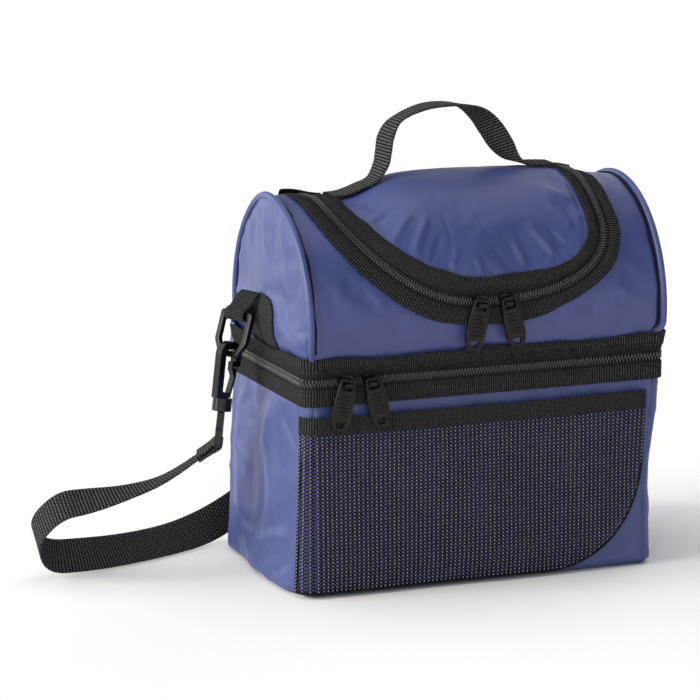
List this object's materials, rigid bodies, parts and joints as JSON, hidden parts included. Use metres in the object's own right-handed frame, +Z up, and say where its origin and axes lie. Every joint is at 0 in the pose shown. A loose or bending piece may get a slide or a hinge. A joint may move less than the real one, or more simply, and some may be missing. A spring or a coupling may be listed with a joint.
{
  "type": "insulated cooler bag",
  "caption": "Soft insulated lunch cooler bag with a zipped lower compartment, a barrel-shaped upper compartment with a D-shaped lid, a mesh pocket, a carry handle and a clip-on shoulder strap.",
  "frame": {"origin": "centre of the flat base, on the surface that the bag stands on", "axes": "+X to the bag's right as seen from its front, -Y towards the front with the mesh pocket, +Z up"},
  "size_m": [0.4592, 0.1942, 0.3251],
  "materials": {
    "navy_fabric": "coated satin weave",
    "insulating_foam": "closed-cell foam",
    "silver_liner": "satin welded film",
    "black_webbing": "ribbed grosgrain",
    "strap_webbing": "ribbed webbing",
    "zip_tape": "fine weave",
    "zip_coil": "satin nylon coil",
    "pocket_mesh": "open weave mesh",
    "black_plastic": "moulded satin",
    "slider_metal": "semi-gloss black enamel",
    "puller_metal": "semi-gloss dark enamel"
  },
  "bodies": {
    "lower_compartment": {"lower_front_panel": "navy_fabric", "lower_back_panel": "navy_fabric", "lower_left_panel": "navy_fabric", "lower_right_panel": "navy_fabric", "lower_bottom_panel": "navy_fabric", "lower_wall_foam": "insulating_foam", "lower_base_foam": "insulating_foam", "lower_liner": "silver_liner", "lower_band_webbing": "black_webbing", "lower_zip_tape": "zip_tape", "lower_zip_chain": "zip_coil", "lower_zip_end_stops": "zip_coil", "front_pocket_mesh": "pocket_mesh", "front_pocket_binding": "black_webbing", "rear_hinge_lower": "navy_fabric", "shoulder_strap": "strap_webbing", "strap_adjuster": "black_plastic"},
    "upper_compartment": {"upper_barrel_panel": "navy_fabric", "upper_left_end_panel": "navy_fabric", "upper_right_end_panel": "navy_fabric", "upper_end_piping": "navy_fabric", "upper_barrel_foam": "insulating_foam", "upper_end_foam": "insulating_foam", "upper_liner": "silver_liner", "divider_foam": "insulating_foam", "divider_liner": "silver_liner", "upper_band_webbing": "black_webbing", "upper_zip_tape": "zip_tape", "upper_zip_chain": "zip_coil", "lid_zip_tape_outer": "zip_tape", "lid_zip_chain_outer": "zip_coil", "lid_binding_outer": "black_webbing", "rear_hinge_upper": "navy_fabric", "left_side_tab": "black_webbing", "right_side_tab": "black_webbing"},
    "lid": {"lid_panel": "navy_fabric", "lid_foam": "insulating_foam", "lid_liner": "silver_liner", "lid_zip_tape_inner": "zip_tape", "lid_zip_chain_inner": "zip_coil", "lid_binding_inner": "black_webbing", "handle_ends": "black_webbing"},
    "handle": {"carry_handle": "black_webbing"},
    "lid_left_slider_body": {"lid_left_slider": "slider_metal"},
    "lid_left_puller_body": {"lid_left_puller": "puller_metal"},
    "lid_right_slider_body": {"lid_right_slider": "slider_metal"},
    "lid_right_puller_body": {"lid_right_puller": "puller_metal"},
    "lower_left_slider_body": {"lower_left_slider": "slider_metal"},
    "lower_left_puller_body": {"lower_left_puller": "puller_metal"},
    "lower_right_slider_body": {"lower_right_slider": "slider_metal"},
    "lower_right_puller_body": {"lower_right_puller": "puller_metal"},
    "left_ring_body": {"left_ring": "black_plastic"},
    "left_hook_body": {"left_hook": "black_plastic"},
    "left_gate_body": {"left_hook_gate": "black_plastic"},
    "left_base_body": {"left_hook_base": "black_plastic"},
    "right_ring_body": {"right_ring": "black_plastic"},
    "right_hook_body": {"right_hook": "black_plastic"},
    "right_gate_body": {"right_hook_gate": "black_plastic"},
    "right_base_body": {"right_hook_base": "black_plastic"}
  },
  "joints": [
    {"name": "compartment_hinge", "type": "hinge", "parent": "lower_compartment", "child": "upper_compartment", "pos_m": [0, 0.075, 0.1505], "axis": [-1, 0, 0], "range_deg": [0, 100]},
    {"name": "lid_hinge", "type": "hinge", "parent": "upper_compartment", "child": "lid", "pos_m": [0, 0.022, 0.2703], "axis": [-1, 0, 0], "range_deg": [0, 110]},
    {"name": "handle_fold", "type": "hinge", "parent": "lid", "child": "handle", "pos_m": [0, 0.002, 0.2835], "axis": [1, 0, 0], "range_deg": [-70, 70], "stiffness_Nm_per_rad": 0.02},
    {"name": "lid_left_slider_run", "type": "slide", "parent": "upper_compartment", "child": "lid_left_slider_body", "axis": [1, 0, 0], "range_m": [-0.03, 0]},
    {"name": "lid_left_puller_swing", "type": "hinge", "parent": "lid_left_slider_body", "child": "lid_left_puller_body", "pos_m": [-0.004, -0.0854, 0.2013], "axis": [-1, 0, 0], "range_deg": [0, 150]},
    {"name": "lid_right_slider_run", "type": "slide", "parent": "upper_compartment", "child": "lid_right_slider_body", "axis": [1, 0, 0], "range_m": [0, 0.018]},
    {"name": "lid_right_puller_swing", "type": "hinge", "parent": "lid_right_slider_body", "child": "lid_right_puller_body", "pos_m": [0.016, -0.0854, 0.2013], "axis": [-1, 0, 0], "range_deg": [0, 150]},
    {"name": "lower_left_slider_run", "type": "slide", "parent": "lower_compartment", "child": "lower_left_slider_body", "axis": [1, 0, 0], "range_m": [-0.012, 0]},
    {"name": "lower_left_puller_swing", "type": "hinge", "parent": "lower_left_slider_body", "child": "lower_left_puller_body", "pos_m": [-0.102, -0.08275, 0.1523], "axis": [-1, 0, 0], "range_deg": [0, 150]},
    {"name": "lower_right_slider_run", "type": "slide", "parent": "lower_compartment", "child": "lower_right_slider_body", "axis": [1, 0, 0], "range_m": [0, 0.19]},
    {"name": "lower_right_puller_swing", "type": "hinge", "parent": "lower_right_slider_body", "child": "lower_right_puller_body", "pos_m": [-0.084, -0.08275, 0.1523], "axis": [-1, 0, 0], "range_deg": [0, 150]},
    {"name": "left_ring_swing", "type": "hinge", "parent": "upper_compartment", "child": "left_ring_body", "pos_m": [-0.1465, 0.012, 0.1845], "axis": [-0.342, 0.9397, 0], "range_deg": [-4, 3]},
    {"name": "left_hook_swing", "type": "hinge", "parent": "left_ring_body", "child": "left_hook_body", "pos_m": [-0.15472, 0.00901, 0.15759], "axis": [-0.342, 0.9397, 0], "range_deg": [-4, 4]},
    {"name": "left_gate_spring", "type": "hinge", "parent": "left_hook_body", "child": "left_gate_body", "pos_m": [-0.15647, 0.00837, 0.12705], "axis": [0.342, -0.9397, 0], "range_deg": [0, 12], "stiffness_Nm_per_rad": 0.02},
    {"name": "left_swivel", "type": "hinge", "parent": "left_hook_body", "child": "left_base_body", "pos_m": [-0.16134, 0.0066, 0.11818], "axis": [0.1308, 0.0476, 0.9903], "range_deg": [-20, 20]},
    {"name": "right_ring_swing", "type": "hinge", "parent": "upper_compartment", "child": "right_ring_body", "pos_m": [0.1465, 0.012, 0.1845], "axis": [-0.342, -0.9397, 0], "range_deg": [-2, 3]},
    {"name": "right_hook_swing", "type": "hinge", "parent": "right_ring_body", "child": "right_hook_body", "pos_m": [0.14882, 0.01116, 0.15631], "axis": [-0.342, -0.9397, 0], "range_deg": [-3, 4]},
    {"name": "right_gate_spring", "type": "hinge", "parent": "right_hook_body", "child": "right_gate_body", "pos_m": [0.14706, 0.01179, 0.12577], "axis": [0.342, 0.9397, 0], "range_deg": [0, 12], "stiffness_Nm_per_rad": 0.02},
    {"name": "right_swivel", "type": "hinge", "parent": "right_hook_body", "child": "right_base_body", "pos_m": [0.15088, 0.0104, 0.11634], "axis": [-0.0164, 0.006, 0.9998], "range_deg": [-20, 20]}
  ]
}
